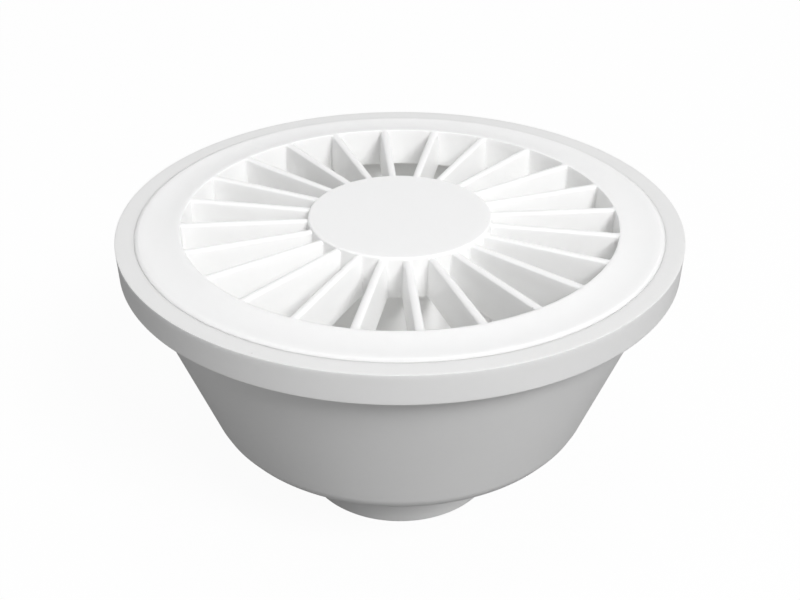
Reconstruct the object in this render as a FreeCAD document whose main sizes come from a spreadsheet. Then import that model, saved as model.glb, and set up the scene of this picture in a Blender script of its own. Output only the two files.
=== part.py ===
import FreeCAD, Part
import os
import re
import Sketcher

# Round floor drain with a drop-in finned grate and a bell that hangs from the grate's hub.
# Millimetres, +Z up. The origin is the centre of the outlet's lower end; the drain's axis is Z.

# Driving dimensions. Each is set by itself; everything that fits takes its size from these.
SIZES = {
    # Flange: the flat rim that sits in the floor
    "flange_diameter": 110.0,
    "flange_depth": 6.0,
    "flange_band": 3.5,
    "flange_ledge": 3.1,
    "lip_overhang": 0.2,
    "lip_thickness": 0.6,
    "flange_draft": 0.25,
    "flange_edge_round": 0.25,
    # Bowl: a straight cone with a rounded foot
    "bowl_height": 43.45,
    "body_wall": 2.0,
    "cone_foot_diameter": 74.8,
    "foot_round": 7.5,
    # Outlet: a plain end that goes into the socket of a 40 mm waste pipe
    "outlet_diameter": 40.0,
    "outlet_wall": 1.8,
    "outlet_length": 16.4,
    "outlet_lead_in": 0.8,
    # Overflow pipe that stands on the bowl's floor, inside the bell, and sets the water level
    "bell_water_gap": 3.25,
    "overflow_wall": 1.5,
    "overflow_height": 26.0,
    # Grate: ring, fins and hub in one moulding
    "grate_clearance": 0.2,
    "grate_proud": 0.35,
    "grate_edge_round": 0.45,
    "seat_depth": 3.0,
    "rim_wall": 1.6,
    "land_thickness": 1.8,
    "land_dish_radius": 30.0,
    "land_dish_depth": 0.18,
    "land_width": 8.6,
    "slot_edge_round": 0.35,
    "skirt_depth": 7.7,
    "ring_skirt_wall": 1.6,
    "fin_count": 24,
    "fin_width_at_hub": 1.5,
    "fin_width_at_ring": 1.7,
    "draft": 0.3,
    "fin_crown": 0.3,
    "fin_set_down": 0.1,
    "fin_phase": 4.6,
    "hub_diameter": 36.0,
    "hub_rise": 0.7,
    "hub_round": 0.55,
    "hub_plate": 2.3,
    "hub_skirt_wall": 1.4,
    # Bell: the cup that snaps inside the hub's skirt and dips into the water round the overflow pipe
    "bell_clearance": 0.25,
    "bell_wall": 1.4,
    "bell_rim_gap": 7.0,
    "snap_height": 0.4,
    "snap_drop": 3.2,
}

SHEET_NAMES = {alias: f"Sizes.{alias}" for alias in SIZES}

doc = FreeCAD.newDocument("floor_drain")
sheet = doc.addObject("Spreadsheet::Sheet", "Sizes")
for row, (alias, number) in enumerate(SIZES.items(), 1):
    sheet.set(f"A{row}", alias)
    sheet.set(f"B{row}", str(number))
    sheet.setAlias(f"B{row}", alias)
doc.recompute()


def named(expression):
    """Turn plain size names in an expression into references to the sheet."""
    return re.sub(r"[a-z_]+", lambda word: SHEET_NAMES.get(word[0], word[0]), expression)


def value(expression):
    """The number that an expression over the sheet gives."""
    result = sheet.evalExpression(named(expression))
    return float(getattr(result, "Value", result))


def origin_part(body, role):
    """An origin plane or axis of a body, such as XZ_Plane or Z_Axis."""
    return next(item for item in body.Origin.OriginFeatures if item.Role == role)


def new_body(label):
    """An empty body whose label names its file."""
    body = doc.addObject("PartDesign::Body", label)
    body.Label = label
    return body


def new_sketch(body, name, plane, offset=None):
    """A sketch on one of the body's origin planes, moved off it by a driven distance."""
    sketch = body.newObject("Sketcher::SketchObject", name)
    sketch.AttachmentSupport = (origin_part(body, plane), [""])
    sketch.MapMode = "FlatFace"
    if offset:
        sketch.setExpression("AttachmentOffset.Base.z", named(offset))
    return sketch


def hold(sketch, kind, element, expression):
    """Hold an element's start point at a driven distance from the sketch's origin."""
    number = sketch.addConstraint(Sketcher.Constraint(kind, -1, 1, element, 1, value(expression)))
    sketch.setExpression(f"Constraints[{number}]", named(expression))


def closed_outline(sketch, corners):
    """Draw a closed outline of straight lines through corners given as (across, up) expressions."""
    points = [FreeCAD.Vector(value(across), value(up), 0) for across, up in corners]
    count = len(points)
    for index in range(count):
        sketch.addGeometry(Part.LineSegment(points[index], points[(index + 1) % count]), False)
    for index in range(count):
        sketch.addConstraint(Sketcher.Constraint("Coincident", index, 2, (index + 1) % count, 1))
    for index, (across, up) in enumerate(corners):
        if across == "0":
            sketch.addConstraint(Sketcher.Constraint("PointOnObject", index, 1, -2))
        else:
            hold(sketch, "DistanceX", index, across)
        if up == "0":
            sketch.addConstraint(Sketcher.Constraint("PointOnObject", index, 1, -1))
        else:
            hold(sketch, "DistanceY", index, up)


def turned(body, name, corners, kind="PartDesign::Revolution"):
    """Turn an outline about the body's own axis, to add a solid or to cut a groove."""
    sketch = new_sketch(body, f"{name}_section", "XZ_Plane")
    closed_outline(sketch, corners)
    feature = body.newObject(kind, name)
    feature.Profile = sketch
    feature.ReferenceAxis = (sketch, ["V_Axis"])
    feature.Angle = 360
    doc.recompute()
    return feature


def rims(feature, places):
    """Names of a feature's circular edges, found by (radius, height) expressions."""
    names = []
    for radius, height in places:
        for number, edge in enumerate(feature.Shape.Edges, 1):
            if not isinstance(edge.Curve, Part.Circle):
                continue
            off_radius = abs(edge.Curve.Radius - value(radius))
            off_height = abs(edge.Curve.Center.z - value(height))
            if off_radius < 1e-4 and off_height < 1e-4:
                names.append(f"Edge{number}")
    return names


def eased(body, name, kind, size_property, size, places):
    """Round or chamfer the circular edges at the given places of the body's last feature."""
    base = body.Tip
    edges = rims(base, places)
    if len(edges) != len(places):
        raise ValueError(f"{name}: {len(edges)} of {len(places)} edges found")
    feature = body.newObject(kind, name)
    feature.Base = (base, edges)
    feature.setExpression(size_property, named(size))
    doc.recompute()
    return feature


def rounded(body, name, radius, places):
    """Round circular edges."""
    return eased(body, name, "PartDesign::Fillet", "Radius", radius, places)


def chamfered(body, name, size, places):
    """Chamfer circular edges."""
    return eased(body, name, "PartDesign::Chamfer", "Size", size, places)


# Heights and radii that more than one piece uses
FLANGE_TOP = "(outlet_length + bowl_height)"
FLANGE_UNDER = f"({FLANGE_TOP} - flange_depth)"
SEAT = f"({FLANGE_TOP} - seat_depth)"
FLOOR_TOP = "(outlet_length + body_wall)"
FLANGE_FOOT = "(flange_diameter / 2 - lip_overhang - flange_draft)"
CONE_TOP = f"({FLANGE_FOOT} - flange_ledge)"
CONE_SLOPE = f"(({CONE_TOP} - cone_foot_diameter / 2) / (bowl_height - flange_depth))"
WALL_ACROSS = f"(body_wall * sqrt(1 + {CONE_SLOPE} ^ 2))"
MOUTH_RADIUS = f"({CONE_TOP} - {WALL_ACROSS})"
FOOT_INSIDE = f"(cone_foot_diameter / 2 + {CONE_SLOPE} * body_wall - {WALL_ACROSS})"
RECESS_RADIUS = "(flange_diameter / 2 - flange_band)"
GRATE_RADIUS = f"({RECESS_RADIUS} - grate_clearance)"
HUB_UNDER = f"({SEAT} + seat_depth + grate_proud + hub_rise - hub_plate)"
BELL_OUTSIDE = "(hub_diameter / 2 - hub_skirt_wall - bell_clearance)"
BELL_INSIDE = f"({BELL_OUTSIDE} - bell_wall)"
OVERFLOW_OUTSIDE = f"({BELL_INSIDE} - bell_water_gap)"
OVERFLOW_BORE = f"({OVERFLOW_OUTSIDE} - overflow_wall)"
OVERFLOW_TOP = f"({FLOOR_TOP} + overflow_height)"


def drain_body():
    """Flange, bowl, outlet and overflow pipe: one moulding."""
    body = new_body("drain_body")
    flange = "flange_diameter / 2"
    outlet_bore = "outlet_diameter / 2 - outlet_wall"
    turned(body, "shell", [
        (outlet_bore, "0"),
        ("outlet_diameter / 2", "0"),
        ("outlet_diameter / 2", "outlet_length"),
        ("cone_foot_diameter / 2", "outlet_length"),
        (CONE_TOP, FLANGE_UNDER),
        (FLANGE_FOOT, FLANGE_UNDER),
        (f"{flange} - lip_overhang", f"{FLANGE_TOP} - lip_thickness"),
        (flange, f"{FLANGE_TOP} - lip_thickness"),
        (flange, FLANGE_TOP),
        (RECESS_RADIUS, FLANGE_TOP),
        (RECESS_RADIUS, SEAT),
        (MOUTH_RADIUS, SEAT),
        (MOUTH_RADIUS, FLANGE_UNDER),
        (FOOT_INSIDE, FLOOR_TOP),
        (OVERFLOW_OUTSIDE, FLOOR_TOP),
        (OVERFLOW_OUTSIDE, OVERFLOW_TOP),
        (OVERFLOW_BORE, OVERFLOW_TOP),
        (OVERFLOW_BORE, "outlet_length"),
        (outlet_bore, "outlet_length"),
    ])
    rounded(body, "foot_outside", "foot_round", [("cone_foot_diameter / 2", "outlet_length")])
    rounded(body, "foot_inside", "foot_round - body_wall", [(FOOT_INSIDE, FLOOR_TOP)])
    rounded(body, "flange_edge", "flange_edge_round", [(flange, FLANGE_TOP)])
    chamfered(body, "outlet_lead", "outlet_lead_in", [("outlet_diameter / 2", "0")])
    return body


def fin_section(body, name, distance, width):
    """Section across a fin: flanks that spread downwards by the draft, and a crowned top."""
    top = "seat_depth + grate_proud - fin_set_down"
    foot = "seat_depth + grate_proud - skirt_depth + fin_set_down"
    sketch = new_sketch(body, name, "YZ_Plane", distance)
    half = f"({width}) / 2"
    half_foot = f"({half} + draft)"
    shoulder = f"({top} - fin_crown)"
    corners = [(f"0 - {half}", shoulder), (f"0 - {half_foot}", foot), (half_foot, foot), (half, shoulder)]
    points = [FreeCAD.Vector(value(across), value(up), 0) for across, up in corners]
    crown = FreeCAD.Vector(0, value(top), 0)
    for start, end in zip(points, points[1:]):
        sketch.addGeometry(Part.LineSegment(start, end), False)
    sketch.addGeometry(Part.Arc(points[3], crown, points[0]), False)
    sketch.addConstraint(Sketcher.Constraint("Coincident", 0, 2, 1, 1))
    sketch.addConstraint(Sketcher.Constraint("Coincident", 1, 2, 2, 1))
    for index, (across, up) in enumerate(corners[:3]):
        hold(sketch, "DistanceX", index, across)
        hold(sketch, "DistanceY", index, up)
    sketch.addConstraint(Sketcher.Constraint("Coincident", 2, 2, 3, 1))
    sketch.addConstraint(Sketcher.Constraint("Coincident", 0, 1, 3, 2))
    hold(sketch, "DistanceX", 3, half)
    hold(sketch, "DistanceY", 3, shoulder)
    bend = f"(({half}) ^ 2 + fin_crown ^ 2) / (2 * fin_crown)"
    number = sketch.addConstraint(Sketcher.Constraint("Radius", 3, value(bend)))
    sketch.setExpression(f"Constraints[{number}]", named(bend))
    return sketch


def grate():
    """Ring, fins and hub: one moulding, in its own frame with its seat at zero height."""
    body = new_body("grate")
    body.AllowCompound = True
    outside = GRATE_RADIUS
    slot_end = f"({GRATE_RADIUS} - land_width)"
    top = "(seat_depth + grate_proud)"
    skirt_foot = f"({top} - skirt_depth)"
    under_land = f"({top} - land_thickness)"
    turned(body, "ring", [
        (f"{slot_end} - draft", skirt_foot),
        (f"{slot_end} + ring_skirt_wall", skirt_foot),
        (f"{slot_end} + ring_skirt_wall", under_land),
        (f"{outside} - rim_wall", under_land),
        (f"{outside} - rim_wall", "0"),
        (outside, "0"),
        (outside, top),
        (slot_end, top),
    ])
    rounded(body, "ring_edge", "grate_edge_round", [(outside, top)])
    rounded(body, "slot_edge", "slot_edge_round", [(slot_end, top)])

    # The land between slots and edge is dished a little, cut by a large round tool
    dish = new_sketch(body, "dish_tool", "XZ_Plane")
    middle = f"({outside} - grate_edge_round + {slot_end} + slot_edge_round) / 2"
    centre = FreeCAD.Vector(value(middle), value(f"{top} + land_dish_radius - land_dish_depth"), 0)
    dish.addGeometry(Part.Circle(centre, FreeCAD.Vector(0, 0, 1), value("land_dish_radius")), False)
    places = (("DistanceX", middle), ("DistanceY", f"{top} + land_dish_radius - land_dish_depth"))
    for kind, expression in places:
        number = dish.addConstraint(Sketcher.Constraint(kind, -1, 1, 0, 3, value(expression)))
        dish.setExpression(f"Constraints[{number}]", named(expression))
    number = dish.addConstraint(Sketcher.Constraint("Radius", 0, value("land_dish_radius")))
    dish.setExpression(f"Constraints[{number}]", named("land_dish_radius"))
    land = body.newObject("PartDesign::Groove", "land_dish")
    land.Profile = dish
    land.ReferenceAxis = (dish, ["V_Axis"])
    land.Angle = 360
    doc.recompute()

    # One fin, from inside the hub's skirt to inside the ring's skirt, then all of them
    fin = body.newObject("PartDesign::AdditiveLoft", "fin")
    fin.Profile = fin_section(body, "fin_at_hub", "hub_diameter / 2 - hub_skirt_wall / 2", "fin_width_at_hub")
    fin.Sections = [fin_section(body, "fin_at_ring", f"{slot_end} + ring_skirt_wall / 2", "fin_width_at_ring")]
    fin.Ruled = True
    doc.recompute()
    fins = body.newObject("PartDesign::PolarPattern", "fins")
    fins.Originals = [fin]
    fins.Axis = (origin_part(body, "Z_Axis"), [""])
    fins.Angle = 360
    fins.setExpression("Occurrences", named("fin_count"))
    body.Tip = fins
    doc.recompute()

    hub = "hub_diameter / 2"
    hub_top = f"({top} + hub_rise)"
    skirt_inside = f"{hub} - hub_skirt_wall"
    snap = f"({hub_top} - hub_plate - snap_drop)"
    turned(body, "hub", [
        ("0", f"{hub_top} - hub_plate"),
        (skirt_inside, f"{hub_top} - hub_plate"),
        (skirt_inside, f"{snap} + 2 * snap_height"),
        (f"{skirt_inside} + snap_height", f"{snap} + snap_height"),
        (f"{skirt_inside} + snap_height", f"{snap} - snap_height"),
        (skirt_inside, f"{snap} - 2 * snap_height"),
        (skirt_inside, skirt_foot),
        (f"{hub} + draft", skirt_foot),
        (hub, top),
        (hub, hub_top),
        ("0", hub_top),
    ])
    rounded(body, "hub_edge", "hub_round", [(hub, hub_top)])
    turn = FreeCAD.Rotation(FreeCAD.Vector(0, 0, 1), value("fin_phase"))
    body.Placement = FreeCAD.Placement(FreeCAD.Vector(), turn)
    body.setExpression(".Placement.Rotation.Angle", named("fin_phase"))
    body.setExpression(".Placement.Base.z", named(SEAT))
    return body


def trap_bell():
    """The bell: an upturned cup, in its own frame with its closed top at zero height."""
    body = new_body("trap_bell")
    foot = f"({FLOOR_TOP} + bell_rim_gap - {HUB_UNDER})"
    turned(body, "cup", [
        ("0", "0"),
        ("0", "0 - bell_wall"),
        (BELL_INSIDE, "0 - bell_wall"),
        (BELL_INSIDE, foot),
        (BELL_OUTSIDE, foot),
        (BELL_OUTSIDE, "0 - snap_drop - snap_height"),
        (f"{BELL_OUTSIDE} + snap_height", "0 - snap_drop - snap_height / 4"),
        (f"{BELL_OUTSIDE} + snap_height", "0 - snap_drop + snap_height / 4"),
        (BELL_OUTSIDE, "0 - snap_drop + snap_height"),
        (BELL_OUTSIDE, "0"),
    ])
    rounded(body, "crown_edge", "bell_wall / 2", [(BELL_OUTSIDE, "0")])
    body.setExpression(".Placement.Base.z", named(HUB_UNDER))
    return body


def fault(piece):
    """What is wrong with a piece's shape, or nothing."""
    if piece.Shape.isNull():
        return "has no shape"
    if not piece.Shape.isValid():
        return "has a shape that is not valid"
    if len(piece.Shape.Solids) != 1:
        return f"has {len(piece.Shape.Solids)} solids"
    return ""


pieces = [drain_body(), grate(), trap_bell()]
doc.recompute()

faults = [f"{item.Name} is {item.State}" for item in doc.Objects if {"Invalid", "Error"} & set(item.State)]
faults += [f"{piece.Label} {fault(piece)}" for piece in pieces if fault(piece)]
if faults:
    raise RuntimeError("; ".join(faults))

os.makedirs("parts", exist_ok=True)
for piece in pieces:
    piece.Shape.exportStep(f"parts/{piece.Label}.step")
    print(f"{piece.Label}: {piece.Shape.Volume / 1000:.2f} cm3")
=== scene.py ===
"""Looks of the round floor drain: body, finned grate and trap bell in white moulded plastic.

Lengths in the classes are millimetres. They become metres when a piece is made.
"""

import logging
import math
from collections.abc import Iterable, Sequence
from dataclasses import dataclass
from enum import Enum

import bmesh
import bpy
from mathutils import Matrix, Vector


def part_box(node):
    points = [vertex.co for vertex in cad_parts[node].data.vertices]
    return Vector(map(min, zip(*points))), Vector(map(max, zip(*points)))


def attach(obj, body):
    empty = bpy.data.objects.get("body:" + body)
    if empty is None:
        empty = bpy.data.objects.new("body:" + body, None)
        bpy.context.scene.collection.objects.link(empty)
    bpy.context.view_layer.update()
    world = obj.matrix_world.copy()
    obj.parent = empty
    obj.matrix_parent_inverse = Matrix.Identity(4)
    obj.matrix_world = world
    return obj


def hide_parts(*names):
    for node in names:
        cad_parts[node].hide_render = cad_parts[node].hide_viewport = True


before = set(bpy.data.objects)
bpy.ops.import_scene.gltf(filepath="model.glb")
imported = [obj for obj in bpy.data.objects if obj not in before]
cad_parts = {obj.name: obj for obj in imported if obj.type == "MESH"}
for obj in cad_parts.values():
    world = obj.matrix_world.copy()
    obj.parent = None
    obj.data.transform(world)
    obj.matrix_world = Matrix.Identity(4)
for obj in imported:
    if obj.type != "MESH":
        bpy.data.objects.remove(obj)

Flat = tuple[float, float]
Point = tuple[float, float, float]
Span = tuple[float, float]
Colour = tuple[float, float, float]

MM = 0.001
AXIS: Flat = (0.0, 0.0)
QUARTER_TURN = math.pi / 2
# The turn between two points of a rounded corner is about this.
ARC_STEP = math.radians(12)
# An arc takes this share of a line that ends where the arc would.
ARC_SHARE = 0.98
# Points nearer to a circle than this stand on it, in millimetres.
ON_CIRCLE = 1e-9
# Angles that agree to this many decimals are one.
ANGLE_DIGITS = 9
# Points of a piece nearer than this are merged, in metres.
MERGE_DISTANCE = 2e-8
# How much more a large face counts than a small one in the shading of their edge.
SHADING_WEIGHT = 60
# The value that noise varies about.
NOISE_MIDDLE = 0.5
WHITE = (1.0, 1.0, 1.0, 1.0)

log = logging.getLogger("floor_drain")


class Slot(Enum):
    """Names of the material slots."""

    BODY = "body_plastic"
    GRATE = "grate_plastic"
    BELL = "bell_plastic"


# Shader maths


class Signal:
    """A socket of a shader, so that shader maths reads as a Python expression."""

    def __init__(self, graph: "Graph", socket: bpy.types.NodeSocket) -> None:
        """Keep the graph and the socket."""
        self.graph = graph
        self.socket = socket

    def __add__(self, other: "Signal | float") -> "Signal":
        """Sum."""
        return self.graph.maths("ADD", self, other)

    def __sub__(self, other: "Signal | float") -> "Signal":
        """Difference."""
        return self.graph.maths("SUBTRACT", self, other)

    def __rsub__(self, other: "Signal | float") -> "Signal":
        """Difference from a number."""
        return self.graph.maths("SUBTRACT", other, self)

    def __mul__(self, other: "Signal | float") -> "Signal":
        """Product."""
        return self.graph.maths("MULTIPLY", self, other)

    def __abs__(self) -> "Signal":
        """Size without its sign."""
        return self.graph.node("ShaderNodeMath", {"operation": "ABSOLUTE"}, {0: self})

    def __gt__(self, other: "Signal | float") -> "Signal":
        """One where the signal is larger, else zero."""
        return self.graph.maths("GREATER_THAN", self, other)

    def __lt__(self, other: "Signal | float") -> "Signal":
        """One where the signal is smaller, else zero."""
        return self.graph.maths("LESS_THAN", self, other)

    __radd__ = __add__
    __rmul__ = __mul__


class Graph:
    """The node tree of one material or world."""

    # Numbers of the Mix node's colour sockets, whose names its other sockets have too.
    FIRST_COLOUR = 6
    SECOND_COLOUR = 7
    MIXED_COLOUR = 2

    def __init__(self, owner: bpy.types.Material | bpy.types.World) -> None:
        """Empty a node tree and keep it.

        Args:
            owner: The material or world that has the tree.
        """
        owner.use_nodes = True
        self.tree = owner.node_tree
        self.tree.nodes.clear()

    def node(
        self,
        kind: str,
        settings: dict[str, object] | None = None,
        inputs: dict[str | int, object] | None = None,
        output: str | int = 0,
    ) -> Signal:
        """Add a node.

        Args:
            kind: The node's type, such as ShaderNodeTexNoise.
            settings: Properties of the node, set before its sockets.
            inputs: A number, colour or signal for each socket, by name or number.
            output: The socket that the result stands for.

        Returns:
            The output as a signal. An output node has none, and gives its first input.
        """
        made = self.tree.nodes.new(kind)
        for name, setting in (settings or {}).items():
            setattr(made, name, setting)
        for name, given in (inputs or {}).items():
            if isinstance(given, Signal):
                self.tree.links.new(given.socket, made.inputs[name])
            else:
                made.inputs[name].default_value = given
        return Signal(self, made.outputs[output] if len(made.outputs) else made.inputs[0])

    def maths(self, operation: str, first: Signal | float, second: Signal | float) -> Signal:
        """One Math node on two signals or numbers."""
        return self.node("ShaderNodeMath", {"operation": operation}, {0: first, 1: second})

    def mixed(self, first: Colour | Signal, second: Colour | Signal, share: Signal) -> Signal:
        """Mix two colours.

        Args:
            first: The colour where share is zero.
            second: The colour where share is one.
            share: How much of the second colour shows.

        Returns:
            The mixed colour.
        """
        ends = [one if isinstance(one, Signal) else (*one, 1.0) for one in (first, second)]
        settings = {"data_type": "RGBA", "clamp_factor": True}
        inputs = {0: share, self.FIRST_COLOUR: ends[0], self.SECOND_COLOUR: ends[1]}
        return self.node("ShaderNodeMix", settings, inputs, self.MIXED_COLOUR)

    def noise(
        self, place: Signal, size: float, detail: float = 2.0, roughness: float = 0.5
    ) -> Signal:
        """Make soft noise, from zero to one.

        Args:
            place: The point on the piece.
            size: About how wide its lumps are, in millimetres.
            detail: How many finer layers lie on them.
            roughness: How strong each finer layer is.

        Returns:
            The noise.
        """
        inputs = {
            "Vector": place,
            "Scale": 1 / (size * MM),
            "Detail": detail,
            "Roughness": roughness,
        }
        return self.node("ShaderNodeTexNoise", {"noise_dimensions": "3D"}, inputs, "Fac")

    def ramp(self, signal: Signal, span: Span) -> Signal:
        """Ease a signal from zero at the span's start to one at its end."""
        settings = {"clamp": True, "interpolation_type": "SMOOTHSTEP"}
        return self.node(
            "ShaderNodeMapRange", settings, {0: signal, 1: span[0], 2: span[1], 3: 0.0, 4: 1.0}
        )


# Finishes


@dataclass(frozen=True)
class MouldedPlastic:
    """White plastic from a polished mould: an even satin skin with faint flow, scuffs and dust.

    The colour drifts to the shade over clouds and flecks. Where there is a painted inner light,
    it takes the place of both on the inner walls below painted_inner_light_top: a whiter colour
    painted on as light in the shaded bowl, not a colour of the plastic.
    """

    name: str
    slot: Slot
    colour: Colour
    shade: Colour
    painted_inner_light: Colour | None = None
    painted_inner_light_top: float = 0.0
    refraction: float = 1.49
    specular: float = 0.45
    light_depth: float = 0.8
    cloud_size: float = 24.0
    cloud_share: float = 0.7
    fleck_size: float = 1.6
    tone_span: Span = (0.3, 0.7)
    roughness: float = 0.38
    roughness_drift: float = 0.1
    ripple_size: float = 5.0
    ripple_height: float = 0.012
    grain_size: float = 0.45
    grain_height: float = 0.004
    scuffs: float = 0.5
    scratch_size: float = 9.0
    scratch_span: Span = (0.0, 0.012)
    scratch_depth: float = 0.003
    scratch_roughness: float = 0.1
    scratch_ways: tuple[Flat, Flat] = ((0.5, 14.0), (2.1, 9.0))
    patch_span: Span = (0.56, 0.7)
    dust: float = 0.5
    dust_colour: Colour = (0.42, 0.41, 0.39)
    dust_roughness: float = 0.2
    speck_cell: float = 6.0
    speck_span: Span = (0.014, 0.03)
    speck_chance: float = 0.2

    def material(self) -> bpy.types.Material:
        """Make the material.

        Returns:
            The finished material.
        """
        made = bpy.data.materials.new(self.name)
        graph = Graph(made)
        place = graph.node("ShaderNodeTexCoord", output="Object")
        cloud = graph.noise(place, self.cloud_size, detail=3.0)
        fleck = graph.noise(place, self.fleck_size, detail=4.0, roughness=0.6)
        scratch = self.scratches(graph, place)
        specks = self.specks(graph, place)
        drift = cloud * self.cloud_share + fleck * (1 - self.cloud_share)
        base = graph.mixed(self.colour, self.shade, graph.ramp(drift, self.tone_span))
        # Painted light: a whiter colour on the bowl's inner walls stands for light in their shade.
        if self.painted_inner_light:
            base = graph.mixed(base, self.painted_inner_light, self.inside(graph, place))
        dusty = graph.mixed(base, self.dust_colour, specks * self.dust)
        roughness = (
            self.roughness
            + (fleck - NOISE_MIDDLE) * self.roughness_drift
            + scratch * (self.scratch_roughness * self.scuffs)
            + specks * self.dust_roughness
        )
        shader = graph.node(
            "ShaderNodeBsdfPrincipled",
            inputs={
                "Base Color": dusty,
                "Roughness": roughness,
                "Normal": self.skin(graph, place, scratch),
                "IOR": self.refraction,
                "Specular IOR Level": self.specular,
                "Subsurface Weight": 1.0,
                "Subsurface Radius": (1.0, 1.0, 1.0),
                "Subsurface Scale": self.light_depth * MM,
            },
        )
        graph.node("ShaderNodeOutputMaterial", inputs={"Surface": shader})
        return made

    def inside(self, graph: Graph, place: Signal) -> Signal:
        """Find where the painted inner light goes: the surfaces that face the axis below
        painted_inner_light_top.

        Args:
            graph: The material's graph.
            place: The point on the piece.

        Returns:
            One on them, else zero.
        """
        across = {0: place, 1: (1.0, 1.0, 0.0)}
        arm = graph.node("ShaderNodeVectorMath", {"operation": "MULTIPLY"}, across)
        facing = graph.node("ShaderNodeNewGeometry", output="Normal")
        outward = graph.node(
            "ShaderNodeVectorMath", {"operation": "DOT_PRODUCT"}, {0: arm, 1: facing}, "Value"
        )
        height = graph.node("ShaderNodeSeparateXYZ", inputs={0: place}, output="Z")
        return (outward < 0.0) * (height < self.painted_inner_light_top * MM)

    def skin(self, graph: Graph, place: Signal, scratch: Signal) -> Signal:
        """Raise the skin's relief: long soft ripples, fine grain and scratches.

        Args:
            graph: The material's graph.
            place: The point on the piece.
            scratch: One on a scratch, else zero.

        Returns:
            The normal of the skin.
        """
        ripple = graph.noise(place, self.ripple_size, detail=1.0)
        grain = graph.noise(place, self.grain_size)
        raised = ripple * self.ripple_height + grain * self.grain_height
        height = raised - scratch * (self.scratch_depth * self.scuffs)
        inputs = {"Strength": 1.0, "Distance": MM, "Height": height}
        return graph.node("ShaderNodeBump", inputs=inputs)

    def scratches(self, graph: Graph, place: Signal) -> Signal:
        """Draw fine hairlines, which are thin contours of two stretched noises, in some patches.

        Args:
            graph: The material's graph.
            place: The point on the piece.

        Returns:
            One on a hairline, else zero.
        """
        patches = graph.ramp(graph.noise(place, self.scratch_size), self.patch_span)
        lines: list[Signal] = []
        for turn, stretch in self.scratch_ways:
            inputs = {
                "Vector": place,
                "Rotation": (0.0, 0.0, turn),
                "Scale": (1.0, stretch, 1.0),
            }
            along = graph.node("ShaderNodeMapping", {"vector_type": "POINT"}, inputs)
            waves = graph.noise(along, self.scratch_size)
            lines.append(1 - graph.ramp(abs(waves - NOISE_MIDDLE), self.scratch_span))
        return graph.maths("MAXIMUM", *lines) * patches

    def specks(self, graph: Graph, place: Signal) -> Signal:
        """Scatter a few specks of dust, each in its own cell of a coarse cell pattern.

        Args:
            graph: The material's graph.
            place: The point on the piece.

        Returns:
            One on a speck, else zero.
        """
        cells = {"Vector": place, "Scale": 1 / (self.speck_cell * MM)}
        near = graph.node("ShaderNodeTexVoronoi", {"feature": "F1"}, cells, "Distance")
        draw = graph.node("ShaderNodeTexVoronoi", {"feature": "F1"}, cells, "Color")
        pick = graph.node("ShaderNodeSeparateColor", inputs={0: draw})
        return (1 - graph.ramp(near, self.speck_span)) * (pick > 1 - self.speck_chance)


@dataclass(frozen=True)
class StudioFloor:
    """Pale matte floor, shown to the camera near white and with a light shadow.

    The bounce is the colour that lights the drain from below, and the veil is the share of
    white that the camera sees over the floor's own colour.
    """

    name: str = "studio_floor"
    colour: Colour = (0.92, 0.92, 0.92)
    bounce: Colour = (0.26, 0.26, 0.26)
    veil: float = 0.95

    def material(self) -> bpy.types.Material:
        """Make the material.

        Returns:
            The finished material.
        """
        made = bpy.data.materials.new(self.name)
        graph = Graph(made)
        shown = graph.node("ShaderNodeLightPath", output="Is Camera Ray")
        colour = graph.mixed(self.bounce, self.colour, shown)
        matte = graph.node("ShaderNodeBsdfDiffuse", inputs={"Color": colour})
        white = graph.node("ShaderNodeEmission", inputs={"Color": WHITE, "Strength": 1.0})
        inputs = {0: shown * self.veil, 1: matte, 2: white}
        surface = graph.node("ShaderNodeMixShader", inputs=inputs)
        graph.node("ShaderNodeOutputMaterial", inputs={"Surface": surface})
        return made


# Shapes


@dataclass(frozen=True)
class Corner:
    """A corner of an outline beside the axis, with the radius that rounds it."""

    across: float
    up: float
    round: float = 0.0

    def flat(self) -> Vector:
        """The corner as a plane vector."""
        return Vector((self.across, self.up))


def rounded_outline(corners: Sequence[Corner], closed: bool) -> list[Flat]:
    """Replace each corner by an arc tangent to the lines beside it.

    Args:
        corners: The corners, in order.
        closed: Whether the last corner joins the first.

    Returns:
        The outline's points.
    """
    points: list[Flat] = []
    count = len(corners)
    for index, corner in enumerate(corners):
        at_end = not closed and index in (0, count - 1)
        if at_end or corner.round == 0.0:
            points.append((corner.across, corner.up))
            continue
        here = corner.flat()
        back = (corners[index - 1].flat() - here).normalized()
        ahead = (corners[(index + 1) % count].flat() - here).normalized()
        opening = back.angle(ahead)
        turn = math.pi - opening
        reach = corner.round * math.tan(turn / 2)
        centre = here + (back + ahead).normalized() * corner.round / math.sin(opening / 2)
        start = here + back * reach - centre
        end = here + ahead * reach - centre
        way = 1.0 if start.x * end.y - start.y * end.x > 0 else -1.0
        steps = max(2, round(turn / ARC_STEP))
        for step in range(steps + 1):
            arm = Matrix.Rotation(way * turn * step / steps, 2) @ start
            points.append(tuple(centre + arm))
    return points


def arc(centre: Flat, radius: float, start: float, end: float, steps: int) -> list[Flat]:
    """Divide an arc evenly.

    Args:
        centre: The middle of its circle.
        radius: The circle's radius.
        start: The angle of the first point.
        end: The angle where the arc ends.
        steps: How many steps it has.

    Returns:
        The points at the start of each step, without the arc's end.
    """
    turns = [start + (end - start) * step / steps for step in range(steps)]
    return [
        (centre[0] + radius * math.cos(turn), centre[1] + radius * math.sin(turn))
        for turn in turns
    ]


def even_turn(segments: int) -> list[float]:
    """Angles of a full turn in even steps."""
    return [2 * math.pi * step / segments for step in range(segments)]


def smooth(share: float) -> float:
    """Ease a share from zero to one, level at both ends."""
    return share * share * (3 - 2 * share)


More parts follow.
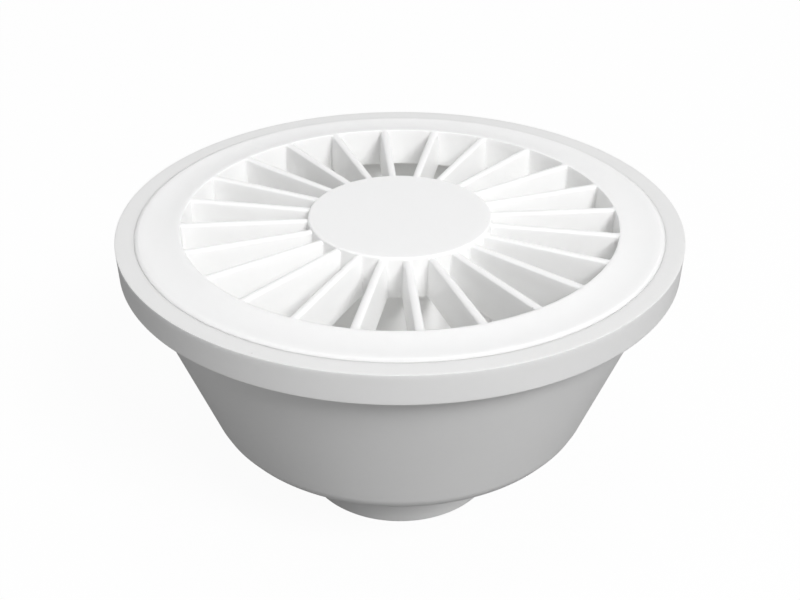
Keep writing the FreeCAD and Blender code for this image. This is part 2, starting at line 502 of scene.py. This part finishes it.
class Shell:
    """The points and faces of one piece while it is made, in millimetres."""

    def __init__(self) -> None:
        """Start with nothing."""
        self.points: list[Point] = []
        self.faces: list[tuple[int, ...]] = []

    def loop(self, points: Iterable[Point]) -> list[int]:
        """Add a loop of points.

        Args:
            points: The points, in order.

        Returns:
            Their numbers in the piece.
        """
        first = len(self.points)
        self.points.extend(points)
        return list(range(first, len(self.points)))

    def bridge(self, first: Sequence[int], second: Sequence[int]) -> None:
        """Join two closed loops by a band of faces.

        Args:
            first: The numbers of one loop's points.
            second: The numbers of the other's, as many.
        """
        count = len(first)
        for index in range(count):
            following = (index + 1) % count
            self.faces.append((first[index], first[following], second[following], second[index]))

    def fan(self, loop: Sequence[int], centre: Point) -> None:
        """Close a loop by triangles to one point.

        Args:
            loop: The numbers of the loop's points.
            centre: The point that the triangles share.
        """
        tip = self.loop([centre])[0]
        count = len(loop)
        for index in range(count):
            self.faces.append((loop[index], loop[(index + 1) % count], tip))

    def turn(self, outline: Sequence[Flat], angles: Sequence[float], closed: bool) -> None:
        """Turn an outline about the axis.

        Args:
            outline: Points as (radius, height). A radius of zero at an end closes it there.
            angles: Where round the axis the points stand.
            closed: Whether the outline's last point joins its first.
        """
        rings = [
            self.loop((radius * math.cos(a), radius * math.sin(a), height) for a in angles)
            for radius, height in outline
            if radius > 0.0
        ]
        for first, second in zip(rings, rings[1:]):
            self.bridge(first, second)
        if closed:
            self.bridge(rings[-1], rings[0])
        if outline[0][0] == 0.0:
            self.fan(rings[0], (*AXIS, outline[0][1]))
        if outline[-1][0] == 0.0:
            self.fan(rings[-1], (*AXIS, outline[-1][1]))

    def piece(self, name: str, material: bpy.types.Material) -> bpy.types.Object:
        """Make the piece in metres, merged, with its faces turned outwards and smooth.

        Args:
            name: The piece's name.
            material: Its material.

        Returns:
            The Blender object.
        """
        mesh = bpy.data.meshes.new(name)
        mesh.from_pydata([tuple(one * MM for one in point) for point in self.points], [], self.faces)
        made = bmesh.new()
        made.from_mesh(mesh)
        bmesh.ops.remove_doubles(made, verts=made.verts, dist=MERGE_DISTANCE)
        bmesh.ops.recalc_face_normals(made, faces=made.faces)
        made.to_mesh(mesh)
        made.free()
        mesh.polygons.foreach_set("use_smooth", [True] * len(mesh.polygons))
        mesh.materials.append(material)
        piece = bpy.data.objects.new(name, mesh)
        bpy.context.scene.collection.objects.link(piece)
        weighted = piece.modifiers.new("even_shading", "WEIGHTED_NORMAL")
        weighted.weight = SHADING_WEIGHT
        weighted.keep_sharp = False
        return piece


@dataclass(frozen=True)
class Datum:
    """Heights and radii that the frame gives."""

    flange_radius: float
    flange_top: float
    grate_radius: float
    skirt_foot: float
    hub_top: float
    bell_foot: float
    bell_top: float

    @classmethod
    def from_frame(cls) -> "Datum":
        """Read them from the boxes of the CAD nodes.

        Returns:
            The datum, in millimetres.
        """
        body = [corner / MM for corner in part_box("drain_body")]
        grate = [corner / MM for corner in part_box("grate")]
        bell = [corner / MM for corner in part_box("trap_bell")]
        return cls(
            flange_radius=round(body[1].x, 2),
            flange_top=round(body[1].z, 2),
            grate_radius=round(grate[1].x, 1),
            skirt_foot=round(grate[0].z, 2),
            hub_top=round(grate[1].z, 2),
            bell_foot=round(bell[0].z, 2),
            bell_top=round(bell[1].z, 2),
        )


# Sub-assemblies


@dataclass
class DrainBody:
    """The moulding that goes in the floor: flange, conical bowl, outlet and overflow pipe."""

    datum: Datum
    finish: MouldedPlastic
    segments: int = 288
    flange_depth: float = 6.15
    flange_draft: float = 0.25
    flange_ledge: float = 3.25
    top_round: float = 0.03
    draft_start: float = 0.12
    edge_round: float = 0.35
    recess_gap: float = 0.01
    recess_round: float = 0.01
    seat_depth: float = 3.0
    wall: float = 2.0
    floor_under: float = 16.4
    foot_radius: float = 37.4
    foot_round: float = 7.5
    outlet_radius: float = 20.0
    outlet_wall: float = 1.8
    outlet_lead: float = 0.25
    outlet_fillet: float = 0.7
    overflow_radius: float = 11.7
    overflow_wall: float = 1.5
    overflow_height: float = 26.0
    overflow_round: float = 0.4
    fine_round: float = 0.2

    def outline(self) -> list[Flat]:
        """Work out the whole section beside the axis, from the outlet's end round to its bore.

        Returns:
            The points of the closed outline.
        """
        top = self.datum.flange_top
        under = top - self.flange_depth
        edge = self.datum.flange_radius
        wall_foot = edge - self.flange_draft
        cone_top = wall_foot - self.flange_ledge
        slope = (cone_top - self.foot_radius) / (under - self.floor_under)
        across = self.wall * math.hypot(1.0, slope)
        mouth = cone_top - across
        floor = self.floor_under + self.wall
        foot_inside = self.foot_radius + slope * self.wall - across
        recess = self.datum.grate_radius + self.recess_gap
        seat = top - self.seat_depth
        bore = self.outlet_radius - self.outlet_wall
        pipe_bore = self.overflow_radius - self.overflow_wall
        pipe_top = floor + self.overflow_height
        fine = self.fine_round
        corners = [
            Corner(bore, 0.0, fine),
            Corner(self.outlet_radius - self.outlet_lead, 0.0, fine),
            Corner(self.outlet_radius, self.outlet_lead, fine),
            Corner(self.outlet_radius, self.floor_under, self.outlet_fillet),
            Corner(self.foot_radius, self.floor_under, self.foot_round),
            Corner(cone_top, under, self.edge_round),
            Corner(wall_foot, under, self.edge_round),
            Corner(edge, top - self.draft_start, fine),
            Corner(edge, top, self.top_round),
            Corner(recess, top, self.recess_round),
            Corner(recess, seat, fine),
            Corner(mouth, seat, fine),
            Corner(mouth, under, self.wall),
            Corner(foot_inside, floor, self.foot_round - self.wall),
            Corner(self.overflow_radius, floor, self.outlet_fillet),
            Corner(self.overflow_radius, pipe_top, self.overflow_round),
            Corner(pipe_bore, pipe_top, self.overflow_round),
            Corner(pipe_bore, self.floor_under, fine),
            Corner(bore, self.floor_under, fine),
        ]
        return rounded_outline(corners, closed=True)

    def build(self) -> bpy.types.Object:
        """Make the moulding.

        Returns:
            The piece, riding on the frame.
        """
        shell = Shell()
        shell.turn(self.outline(), even_turn(self.segments), closed=True)
        piece = shell.piece("drain_body_moulding", self.finish.material())
        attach(piece, "root")
        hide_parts("drain_body")
        return piece


@dataclass(frozen=True)
class Snap:
    """The bead that holds the bell in the hub, and the groove that takes it."""

    height: float = 0.4
    drop: float = 3.2


@dataclass
class Grate:
    """The drop-in grate: dished ring, radial fins and raised hub in one moulding.

    It is made in sectors, each with one slot between the middles of two fins. A sector is two
    mirrored halves, and the half is worked out beside a fin that stands at angle zero.
    """

    datum: Datum
    finish: MouldedPlastic
    snap: Snap
    fin_count: int = 24
    fin_phase: float = 4.6
    proud: float = 0.7
    edge_slope_width: float = 0.7
    edge_slope_fall: float = 0.3
    edge_slope_round: float = 0.9
    seam_round: float = 0.025
    slot_round: float = 0.12
    foot_round: float = 0.15
    land_width: float = 8.7
    land_thickness: float = 1.8
    land_dish_radius: float = 30.0
    land_dish_depth: float = 0.18
    land_fall: float = 0.35
    rim_width: float = 0.5
    seat_depth: float = 3.0
    rim_wall: float = 1.6
    ring_skirt_wall: float = 1.6
    fin_width_at_hub: float = 1.5
    fin_width_at_ring: float = 1.7
    fin_crown: float = 0.42
    fin_set_down: float = 0.05
    draft: float = 0.3
    corner_round: float = 0.35
    hub_radius: float = 18.0
    hub_round: float = 0.38
    hub_plate: float = 2.3
    hub_skirt_wall: float = 1.4
    hub_top_rings: Flat = (0.6, 0.2)
    hub_under_ring: float = 0.3
    fine_round: float = 0.25
    inner_round: float = 0.5
    ring_steps: int = 6
    half_corner_steps: int = 3
    flank_steps: int = 8
    hub_steps: int = 3
    rim_rows: int = 5
    wall_rows: int = 4
    foot_rows: int = 3
    dish_steps: int = 10

    @property
    def top(self) -> float:
        """Height of the land's inner edge."""
        return self.datum.flange_top + self.proud

    @property
    def fin_top(self) -> float:
        """Height of the fins' crown."""
        return self.top - self.fin_set_down

    @property
    def slot_end(self) -> float:
        """Radius at which the slots end on the ring."""
        return self.datum.grate_radius - self.land_width

    @property
    def ring_inside(self) -> float:
        """Radius at which the sectors join the ring."""
        return self.slot_end + self.rim_width

    @property
    def hub_wall_top(self) -> float:
        """Height at which the sectors join the hub's side."""
        return self.datum.hub_top - self.hub_round

    @property
    def hub_inside(self) -> float:
        """Radius at which the sectors join the foot of the hub's skirt."""
        return self.hub_radius - self.hub_skirt_wall / 2

    @property
    def corner_steps(self) -> int:
        """How many steps a corner of a slot has."""
        return 2 * self.half_corner_steps

    @property
    def pitch(self) -> float:
        """Angle from one fin to the next."""
        return 2 * math.pi / self.fin_count

    @property
    def first_fin(self) -> float:
        """Angle of the first fin."""
        return math.radians(self.fin_phase)

    def half_width(self, distance: float) -> float:
        """Half the fin's width at its top, at a distance from the axis."""
        share = (distance - self.hub_radius) / (self.slot_end - self.hub_radius)
        return (self.fin_width_at_hub + (self.fin_width_at_ring - self.fin_width_at_hub) * share) / 2

    def half_edge(self, depth: float, ease: float = 0.0) -> list[Flat]:
        """Draw half of a slot's edge in plan, from its outer middle past the fin at angle zero.

        Args:
            depth: Share of the way from the fins' top to their foot, which sets the draft.
            ease: How much wider the slot is here all round, for a rounded edge.

        Returns:
            The points, as many at each depth.
        """
        spread = self.draft * depth - ease
        ring = self.slot_end - spread
        hub = self.hub_radius + spread
        bend = self.corner_round
        outer = self.half_width(self.slot_end) + spread
        inner = self.half_width(self.hub_radius) + spread
        outer_up = outer + bend
        inner_up = inner + bend
        outer_along = math.sqrt((ring - bend) ** 2 - outer_up**2)
        inner_along = math.sqrt((hub + bend) ** 2 - inner_up**2)
        ring_turn = math.atan2(outer_up, outer_along)
        hub_turn = math.atan2(inner_up, inner_along)
        middle = self.pitch / 2
        corner = self.corner_steps
        points = arc(AXIS, ring, middle, ring_turn, self.ring_steps)
        points += arc((outer_along, outer_up), bend, ring_turn, -QUARTER_TURN, corner)
        for step in range(self.flank_steps):
            share = step / self.flank_steps
            along = outer_along + (inner_along - outer_along) * share
            points.append((along, outer + (inner - outer) * share))
        points += arc((inner_along, inner_up), bend, -QUARTER_TURN, hub_turn - math.pi, corner)
        points += arc(AXIS, hub, hub_turn, middle, self.hub_steps)
        points.append((hub * math.cos(middle), hub * math.sin(middle)))
        return points

    def shares(self) -> list[Flat]:
        """Say how much each point of the half edge belongs to the ring and to the hub.

        Returns:
            The share of the ring and the share of the hub. What is left is the fin's.
        """
        eased = [smooth(step / self.corner_steps) for step in range(self.corner_steps)]
        found: list[Flat] = [(1.0, 0.0)] * self.ring_steps
        found += [(1 - share, 0.0) for share in eased]
        found += [(0.0, 0.0)] * self.flank_steps
        found += [(0.0, share) for share in eased]
        found += [(0.0, 1.0)] * (self.hub_steps + 1)
        return found

    def half_border(
        self, ring: float, hub: float, heights: tuple[float, float, float]
    ) -> list[Point]:
        """Draw where half of a sector ends: on the ring, along the fin's middle and on the hub.

        Args:
            ring: Radius on the ring.
            hub: Radius on the hub.
            heights: Height on the ring, on the fin and on the hub.

        Returns:
            One point for each point of the half edge.
        """
        edge = self.half_edge(0.0)
        turns = [math.atan2(up, along) for along, up in edge]
        ring_up, fin_up, hub_up = heights
        ring_corner = self.ring_steps
        flank = ring_corner + self.corner_steps
        hub_corner = flank + self.flank_steps
        hub_side = hub_corner + self.corner_steps
        flank_start = edge[flank][0]
        flank_end = edge[hub_corner][0]
        shares = [step / self.half_corner_steps for step in range(self.half_corner_steps)]
        on_ring = turns[:ring_corner] + [turns[ring_corner] * (1 - share) for share in shares]
        on_hub = [turns[hub_side] * share for share in shares] + turns[hub_side:]
        border = [(ring * math.cos(turn), ring * math.sin(turn), ring_up) for turn in on_ring]
        for share in shares:
            along = ring + (flank_start - ring) * share
            border.append((along, 0.0, ring_up + (fin_up - ring_up) * smooth(share)))
        border += [(along, 0.0, fin_up) for along, _ in edge[flank:hub_corner]]
        for share in shares:
            bend = share * QUARTER_TURN
            along = flank_end + (hub - flank_end) * math.sin(bend)
            border.append((along, 0.0, fin_up + (hub_up - fin_up) * (1 - math.cos(bend))))
        border += [(hub * math.cos(turn), hub * math.sin(turn), hub_up) for turn in on_hub]
        return border

    def whole(self, half: Sequence[Point], number: int) -> list[Point]:
        """Join both halves of a sector's loop and turn them to the sector's place.

        Args:
            half: Points on the side of the fin at angle zero.
            number: The sector's number round the axis.

        Returns:
            The closed loop.
        """
        cosine = math.cos(self.pitch)
        sine = math.sin(self.pitch)
        mirrored = [
            (x * cosine + y * sine, x * sine - y * cosine, z) for x, y, z in reversed(half[1:-1])
        ]
        start = self.first_fin + number * self.pitch
        cosine = math.cos(start)
        sine = math.sin(start)
        both = [*half, *mirrored]
        return [(x * cosine - y * sine, x * sine + y * cosine, z) for x, y, z in both]

    def half_loops(self) -> list[list[Point]]:
        """Make half a sector, from the border above down through the slot to the border below.

        Returns:
            Its loops, in that order.
        """
        shares = self.shares()
        rim = self.half_edge(0.0)
        foot = self.datum.skirt_foot
        above = self.half_border(
            self.ring_inside, self.hub_radius, (self.top, self.fin_top, self.hub_wall_top)
        )
        below = self.half_border(
            self.ring_inside, self.hub_inside, (foot, foot + self.fin_set_down, foot)
        )
        rim_top = self.top - self.slot_round
        shoulder = self.fin_top - self.fin_crown
        heights = [ring * rim_top + (1 - ring) * shoulder for ring, _ in shares]
        loops = [
            self.rim_row(row, rim, heights, above, shares) for row in range(self.rim_rows, 0, -1)
        ]
        foot_heights = [z + self.foot_round for _, _, z in below]
        for row in range(self.wall_rows + 1):
            depth = row / self.wall_rows
            loops.append([
                (x, y, top + (bottom - top) * depth)
                for (x, y), top, bottom in zip(self.half_edge(depth), heights, foot_heights)
            ])
        last = loops[-1]
        for row in range(1, self.foot_rows):
            bend = QUARTER_TURN * row / (self.foot_rows - 1)
            fall = self.foot_round * math.sin(bend)
            edge = self.half_edge(1.0, self.foot_round * (1 - math.cos(bend)))
            loops.append([(x, y, z - fall) for (x, y), (_, _, z) in zip(edge, last)])
        loops.append(below)
        return loops

    def rim_row(
        self,
        row: int,
        rim: Sequence[Flat],
        heights: Sequence[float],
        above: Sequence[Point],
        shares: Sequence[Flat],
    ) -> list[Point]:
        """Make one row between a slot's upper edge and the border above.

        Args:
            row: The row's number, from one to rim_rows.
            rim: The slot's upper edge in plan.
            heights: The height of each point of that edge.
            above: The border above.
            shares: How much each point belongs to the ring and to the hub.

        Returns:
            The row's points.
        """
        last = self.rim_rows
        fin_bend = QUARTER_TURN * row / last
        fin_plan = 1 - math.cos(fin_bend)
        fin_rise = math.sin(fin_bend)
        ring_bend = QUARTER_TURN * min(1.0, row / (last - 1))
        reach = self.slot_round / self.rim_width
        ring_plan = 1.0 if row == last else reach * (1 - math.cos(ring_bend))
        ring_rise = math.sin(ring_bend)
        points: list[Point] = []
        for (x, y), height, end, (ring, hub) in zip(rim, heights, above, shares):
            fin = 1 - ring - hub
            plan = fin * fin_plan + ring * ring_plan + hub * row / last
            rise = fin * fin_rise + ring * ring_rise + hub * row / last
            points.append((
                x + (end[0] - x) * plan,
                y + (end[1] - y) * plan,
                height + (end[2] - height) * rise,
            ))
        return points

    def round_angles(self, radius: float, border: Sequence[Point]) -> list[float]:
        """Find where the sectors' points stand on one circle.

        Args:
            radius: The circle's radius.
            border: Half of a sector's border.

        Returns:
            The angles of a full turn.
        """
        on_circle = [
            math.atan2(y, x) for x, y, _ in border if abs(math.hypot(x, y) - radius) < ON_CIRCLE
        ]
        half = sorted({round(angle, ANGLE_DIGITS) for angle in on_circle})
        sector = half[:-1] + [self.pitch - angle for angle in reversed(half)][:-1]
        starts = [self.first_fin + number * self.pitch for number in range(self.fin_count)]
        return [start + angle for start in starts for angle in sector]

    def land(self, outer: float) -> list[Corner]:
        """Draw the dished land, which falls a little outwards.

        Args:
            outer: Radius at which the land ends.

        Returns:
            Its points, outwards.
        """
        radius = self.land_dish_radius
        middle = (outer + self.slot_end + self.slot_round) / 2
        centre_up = self.top + radius - self.land_dish_depth
        half_swing = math.acos(1 - self.land_dish_depth / radius)
        corners: list[Corner] = []
        for step in range(self.dish_steps + 1):
            swing = half_swing * (2 * step / self.dish_steps - 1)
            across = middle + radius * math.sin(swing)
            drop = self.land_fall * (across - self.ring_inside) / (outer - self.ring_inside)
            corners.append(Corner(across, centre_up - radius * math.cos(swing) - drop))
        return corners

    def ring_outline(self) -> list[Flat]:
        """Work out the ring's section, from its inner land over the edge to its skirt's foot.

        Returns:
            The points of the open outline.
        """
        outside = self.datum.grate_radius
        slope_start = outside - self.edge_slope_width
        slope_top = self.top - self.land_fall
        seat = self.datum.flange_top - self.seat_depth
        under_land = self.top - self.land_thickness
        skirt_outside = self.slot_end + self.ring_skirt_wall
        corners = [
            Corner(self.ring_inside, self.top),
            *self.land(slope_start),
            Corner(slope_start, slope_top, self.edge_slope_round),
            Corner(outside, slope_top - self.edge_slope_fall, self.seam_round),
            Corner(outside, seat, self.fine_round),
            Corner(outside - self.rim_wall, seat, self.fine_round),
            Corner(outside - self.rim_wall, under_land, self.inner_round),
            Corner(skirt_outside, under_land, self.inner_round),
            Corner(skirt_outside, self.datum.skirt_foot, self.fine_round),
            Corner(self.ring_inside, self.datum.skirt_foot),
        ]
        return rounded_outline(corners, closed=False)

    def hub_upper_outline(self) -> list[Flat]:
        """Work out the hub's section above the fins.

        Returns:
            The points of the open outline, up to the axis.
        """
        top = self.datum.hub_top
        corners = [
            Corner(self.hub_radius, self.hub_wall_top),
            Corner(self.hub_radius, top, self.hub_round * ARC_SHARE),
            *(Corner(self.hub_radius * share, top) for share in self.hub_top_rings),
            Corner(0.0, top),
        ]
        return rounded_outline(corners, closed=False)

    def hub_lower_outline(self) -> list[Flat]:
        """Work out the hub's section from its skirt's foot up inside, past the snap groove.

        Returns:
            The points of the open outline, up to the axis.
        """
        inside = self.hub_radius - self.hub_skirt_wall
        plate = self.datum.hub_top - self.hub_plate
        groove = plate - self.snap.drop
        deep = inside + self.snap.height
        fine = self.fine_round
        corners = [
            Corner(self.hub_inside, self.datum.skirt_foot),
            Corner(inside, self.datum.skirt_foot, fine),
            Corner(inside, groove - 2 * self.snap.height, fine),
            Corner(deep, groove - self.snap.height, fine),
            Corner(deep, groove + self.snap.height, fine),
            Corner(inside, groove + 2 * self.snap.height, fine),
            Corner(inside, plate, self.inner_round),
            Corner(self.hub_radius * self.hub_under_ring, plate),
            Corner(0.0, plate),
        ]
        return rounded_outline(corners, closed=False)

    def build(self) -> bpy.types.Object:
        """Make the grate.

        Returns:
            The piece, riding on the frame.
        """
        shell = Shell()
        halves = self.half_loops()
        for number in range(self.fin_count):
            loops = [shell.loop(self.whole(half, number)) for half in halves]
            for first, second in zip(loops, loops[1:]):
                shell.bridge(first, second)
        ring_angles = self.round_angles(self.ring_inside, halves[0])
        hub_angles = self.round_angles(self.hub_radius, halves[0])
        shell.turn(self.ring_outline(), ring_angles, closed=False)
        shell.turn(self.hub_upper_outline(), hub_angles, closed=False)
        shell.turn(self.hub_lower_outline(), hub_angles, closed=False)
        piece = shell.piece("finned_grate", self.finish.material())
        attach(piece, "root")
        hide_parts("grate")
        return piece


@dataclass
class TrapBell:
    """The upturned cup of the water seal, snapped inside the hub's skirt."""

    datum: Datum
    finish: MouldedPlastic
    snap: Snap
    segments: int = 192
    radius: float = 16.35
    wall: float = 1.4
    bead_flat: float = 0.2
    bead_round: float = 0.1
    fine_round: float = 0.3

    def outline(self) -> list[Flat]:
        """Work out the cup's section, from the middle of its closed top to the middle inside.

        Returns:
            The points of the open outline.
        """
        top = self.datum.bell_top
        foot = self.datum.bell_foot
        inside = self.radius - self.wall
        bead = top - self.snap.drop
        bead_radius = self.radius + self.snap.height
        half_flat = self.bead_flat / 2
        fine = self.fine_round
        corners = [
            Corner(0.0, top),
            Corner(self.radius, top, self.wall / 2),
            Corner(self.radius, bead + self.snap.height, fine),
            Corner(bead_radius, bead + half_flat, self.bead_round),
            Corner(bead_radius, bead - half_flat, self.bead_round),
            Corner(self.radius, bead - self.snap.height, fine),
            Corner(self.radius, foot, fine),
            Corner(inside, foot, fine),
            Corner(inside, top - self.wall, self.wall / 2),
            Corner(0.0, top - self.wall),
        ]
        return rounded_outline(corners, closed=False)

    def build(self) -> bpy.types.Object:
        """Make the cup.

        Returns:
            The piece, riding on the frame.
        """
        shell = Shell()
        shell.turn(self.outline(), even_turn(self.segments), closed=False)
        piece = shell.piece("trap_bell_cup", self.finish.material())
        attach(piece, "root")
        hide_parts("trap_bell")
        return piece


# Camera, lamps and floor


@dataclass(frozen=True)
class Lamp:
    """A soft round lamp that points at the drain: angles in degrees, lengths in metres."""

    name: str
    azimuth: float
    elevation: float
    distance: float
    size: float
    power: float

    def build(self, target: Vector) -> None:
        """Make the lamp.

        Args:
            target: The point it looks at.
        """
        data = bpy.data.lights.new(self.name, "AREA")
        data.shape = "DISK"
        data.size = self.size
        data.energy = self.power
        lamp = bpy.data.objects.new(self.name, data)
        bpy.context.scene.collection.objects.link(lamp)
        turn = math.radians(self.azimuth)
        rise = math.radians(self.elevation)
        level = math.cos(rise)
        away = Vector((math.cos(turn) * level, math.sin(turn) * level, math.sin(rise)))
        lamp.location = target + away * self.distance
        lamp.rotation_euler = (-away).to_track_quat("-Z", "Y").to_euler()


@dataclass
class Studio:
    """The pale floor, the lamps, the world and the photograph's camera.

    The floor's size and the camera's clipping are in metres. The camera's place is in
    millimetres, and ahead and upward are its directions.
    """

    datum: Datum
    floor: StudioFloor = StudioFloor()
    key: Lamp = Lamp("key_lamp", -57.0, 43.0, 2.2, 0.8, 34.5)
    top: Lamp = Lamp("top_lamp", 90.0, 90.0, 1.6, 1.0, 2.3)
    ambient: float = 0.44
    light_bounces: int = 24
    floor_size: float = 6.0
    image_width: float = 800.0
    focal_pixels: float = 1280.0
    sensor_width: float = 36.0
    clipping: Span = (0.01, 20.0)
    eye: Point = (0.0, -224.36, 173.57)
    ahead: Point = (0.0001, 0.8616, -0.5076)
    upward: Point = (0.0, 0.5076, 0.8616)

    def build(self) -> None:
        """Make everything round the drain."""
        self.build_floor()
        self.build_world()
        middle = Vector((0.0, 0.0, self.datum.flange_top * MM / 2))
        for lamp in (self.key, self.top):
            lamp.build(middle)
        self.build_camera()
        scene = bpy.context.scene
        scene.view_settings.view_transform = "Standard"
        scene.cycles.max_bounces = self.light_bounces
        scene.cycles.diffuse_bounces = self.light_bounces

    def build_floor(self) -> None:
        """Lay the floor under the outlet's end."""
        half = self.floor_size / 2
        mesh = bpy.data.meshes.new("studio_floor")
        corners = [(-half, -half, 0.0), (half, -half, 0.0), (half, half, 0.0), (-half, half, 0.0)]
        mesh.from_pydata(corners, [], [(0, 1, 2, 3)])
        mesh.materials.append(self.floor.material())
        floor = bpy.data.objects.new("studio_floor", mesh)
        bpy.context.scene.collection.objects.link(floor)

    def build_world(self) -> None:
        """Light the room evenly, and show white to the camera."""
        world = bpy.data.worlds.new("studio_room")
        bpy.context.scene.world = world
        graph = Graph(world)
        shown = graph.node("ShaderNodeLightPath", output="Is Camera Ray")
        inputs = {"Color": WHITE, "Strength": self.ambient}
        even = graph.node("ShaderNodeBackground", inputs=inputs)
        white = graph.node("ShaderNodeBackground", inputs={"Color": WHITE, "Strength": 1.0})
        surface = graph.node("ShaderNodeMixShader", inputs={0: shown, 1: even, 2: white})
        graph.node("ShaderNodeOutputWorld", inputs={"Surface": surface})

    def build_camera(self) -> None:
        """Set the camera where the photograph was taken from."""
        data = bpy.data.cameras.new("photo_camera")
        data.sensor_width = self.sensor_width
        data.lens = self.focal_pixels / self.image_width * self.sensor_width
        data.clip_start, data.clip_end = self.clipping
        camera = bpy.data.objects.new("photo_camera", data)
        bpy.context.scene.collection.objects.link(camera)
        ahead = Vector(self.ahead).normalized()
        aside = ahead.cross(Vector(self.upward)).normalized()
        upward = aside.cross(ahead)
        turned = Matrix((aside, upward, -ahead)).transposed().to_4x4()
        camera.matrix_world = Matrix.Translation(Vector(self.eye) * MM) @ turned
        bpy.context.scene.camera = camera


def main() -> None:
    """Build the drain and the studio."""
    logging.basicConfig(level=logging.INFO, format="%(message)s")
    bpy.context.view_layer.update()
    datum = Datum.from_frame()
    snap = Snap()
    body_finish = MouldedPlastic(
        "body_white",
        Slot.BODY,
        colour=(0.822, 0.822, 0.82),
        shade=(0.808, 0.808, 0.806),
        # Painted light: the bowl's inner walls get a whiter colour, standing for light in their
        # shade.
        painted_inner_light=(0.955, 0.955, 0.95),
        painted_inner_light_top=datum.skirt_foot,
    )
    grate_finish = MouldedPlastic(
        "grate_white", Slot.GRATE, colour=(0.94, 0.94, 0.937), shade=(0.93, 0.93, 0.927)
    )
    # The bell is white plastic, with its colour set above the grate's as painted light that lifts
    # the shaded inside seen through the slots.
    bell_finish = MouldedPlastic(
        "bell_white_and_painted_light", Slot.BELL, colour=(0.965, 0.965, 0.96), shade=(0.95, 0.95, 0.945)
    )
    for maker in (
        DrainBody(datum, body_finish),
        Grate(datum, grate_finish, snap),
        TrapBell(datum, bell_finish, snap),
    ):
        piece = maker.build()
        log.info("%s: %d faces", piece.name, len(piece.data.polygons))
    Studio(datum).build()


if __name__ == "__main__":
    main()
